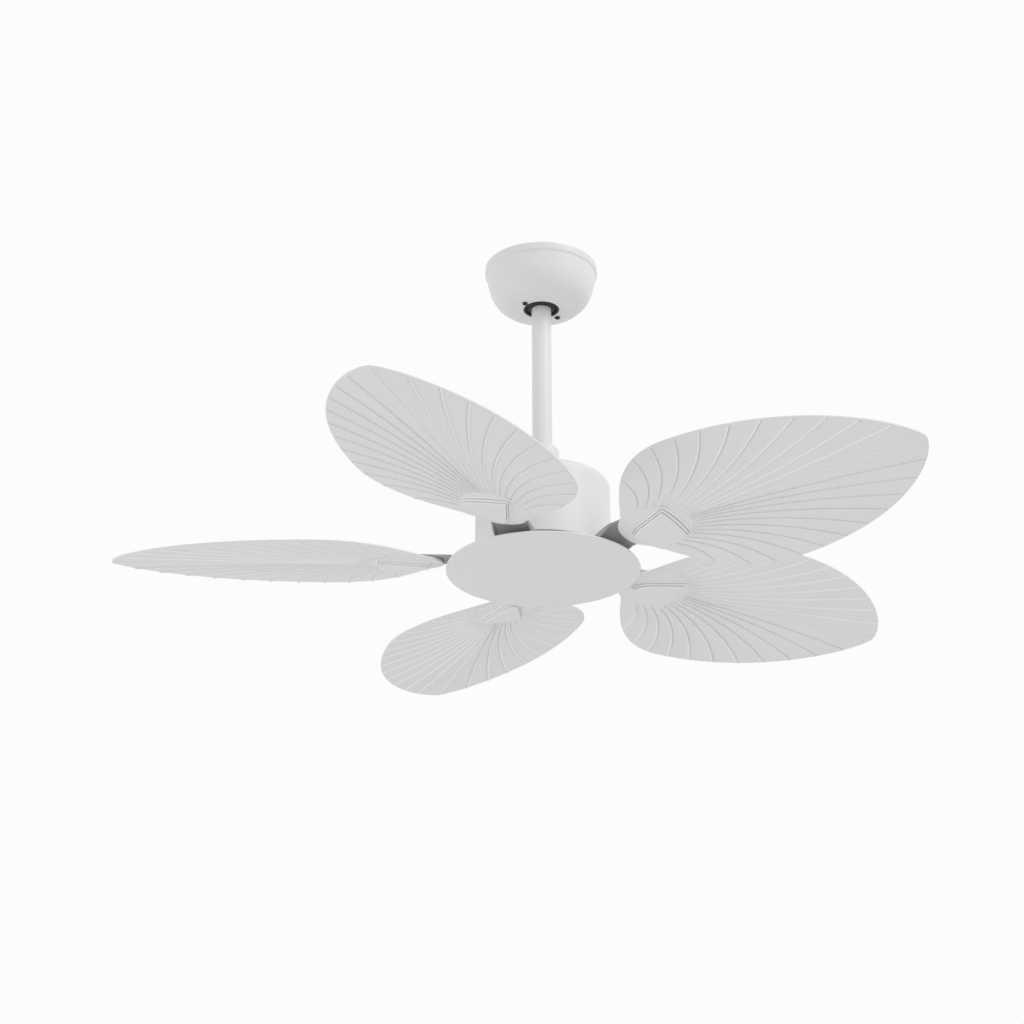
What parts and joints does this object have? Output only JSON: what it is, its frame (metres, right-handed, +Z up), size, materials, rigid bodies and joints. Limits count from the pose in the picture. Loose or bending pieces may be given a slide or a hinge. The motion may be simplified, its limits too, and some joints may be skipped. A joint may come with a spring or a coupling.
{
  "type": "ceiling fan",
  "caption": "White ceiling fan with ribbed palm-leaf blades under a drum motor, hung from a cup canopy by a short downrod on a ball joint.",
  "frame": {"origin": "centre of the bracket plate's top face, on the ceiling plane and on the fan's axis", "axes": "+Z up into the ceiling, +X to the right and +Y away from a viewer who stands in front"},
  "size_m": [0.9772, 1.0145, 0.4353],
  "materials": {
    "white_paint": "satin white paint on sheet steel",
    "white_plastic": "smooth moulded white plastic with a soft sheen",
    "black_steel": "satin black coated steel",
    "black_plastic": "moulded black plastic",
    "lead_sheath": "smooth black cable sheath",
    "bright_steel": "zinc-plated and ground steel",
    "core_steel": "laminated electrical steel",
    "copper_winding": "enamelled copper wire",
    "grey_casting": "grey powder-coated casting"
  },
  "bodies": {
    "ceiling": {"hanger_bracket": "black_steel", "canopy": "white_paint", "canopy_screw_left": "black_steel", "canopy_screw_right": "black_steel", "receiver_module": "black_plastic"},
    "seat": {"ball_liner_ring": "black_plastic"},
    "hanging": {"hanger_ball": "black_plastic", "ball_cross_pin": "bright_steel", "downrod": "white_paint", "motor_yoke": "bright_steel", "rod_set_screw": "black_steel", "clevis_pin": "bright_steel", "clevis_cotter": "bright_steel", "coupling_cover": "white_plastic", "fixed_shaft": "bright_steel", "shaft_lock_pin": "bright_steel", "stator_core": "core_steel", "winding_upper": "copper_winding", "winding_lower": "copper_winding", "bearing_upper": "bright_steel", "bearing_lower": "bright_steel", "motor_housing": "white_paint", "housing_screw_1": "bright_steel", "housing_screw_2": "bright_steel", "housing_screw_3": "bright_steel", "cover_disc": "white_paint", "disc_carrier": "white_plastic", "shaft_nut": "bright_steel", "motor_lead": "lead_sheath", "lead_plug": "white_plastic"},
    "rotor": {"rotor_cover_upper": "grey_casting", "rotor_cover_lower": "grey_casting", "rotor_ring": "core_steel", "hub_plate": "black_steel", "blade_arm_1": "grey_casting", "blade_arm_2": "grey_casting", "blade_arm_3": "grey_casting", "blade_arm_4": "grey_casting", "blade_arm_5": "grey_casting", "blade_1": "white_plastic", "blade_2": "white_plastic", "blade_3": "white_plastic", "blade_4": "white_plastic", "blade_5": "white_plastic", "blade_medallion_1": "white_plastic", "blade_medallion_2": "white_plastic", "blade_medallion_3": "white_plastic", "blade_medallion_4": "white_plastic", "blade_medallion_5": "white_plastic", "arm_screw_1a": "bright_steel", "arm_screw_1b": "bright_steel", "arm_screw_2a": "bright_steel", "arm_screw_2b": "bright_steel", "arm_screw_3a": "bright_steel", "arm_screw_3b": "bright_steel", "arm_screw_4a": "bright_steel", "arm_screw_4b": "bright_steel", "arm_screw_5a": "bright_steel", "arm_screw_5b": "bright_steel"}
  },
  "joints": [
    {"name": "swing_about_x", "type": "hinge", "parent": "ceiling", "child": "seat", "pos_m": [0, 0, -0.039], "axis": [1, 0, 0], "range_deg": [-12, 12]},
    {"name": "swing_about_y", "type": "hinge", "parent": "seat", "child": "hanging", "pos_m": [0, 0, -0.039], "axis": [0, 1, 0], "range_deg": [-12, 12]},
    {"name": "rotor_spin", "type": "hinge", "parent": "hanging", "child": "rotor", "pos_m": [0, 0, -0.375], "axis": [0, 0, 1], "continuous": true}
  ]
}
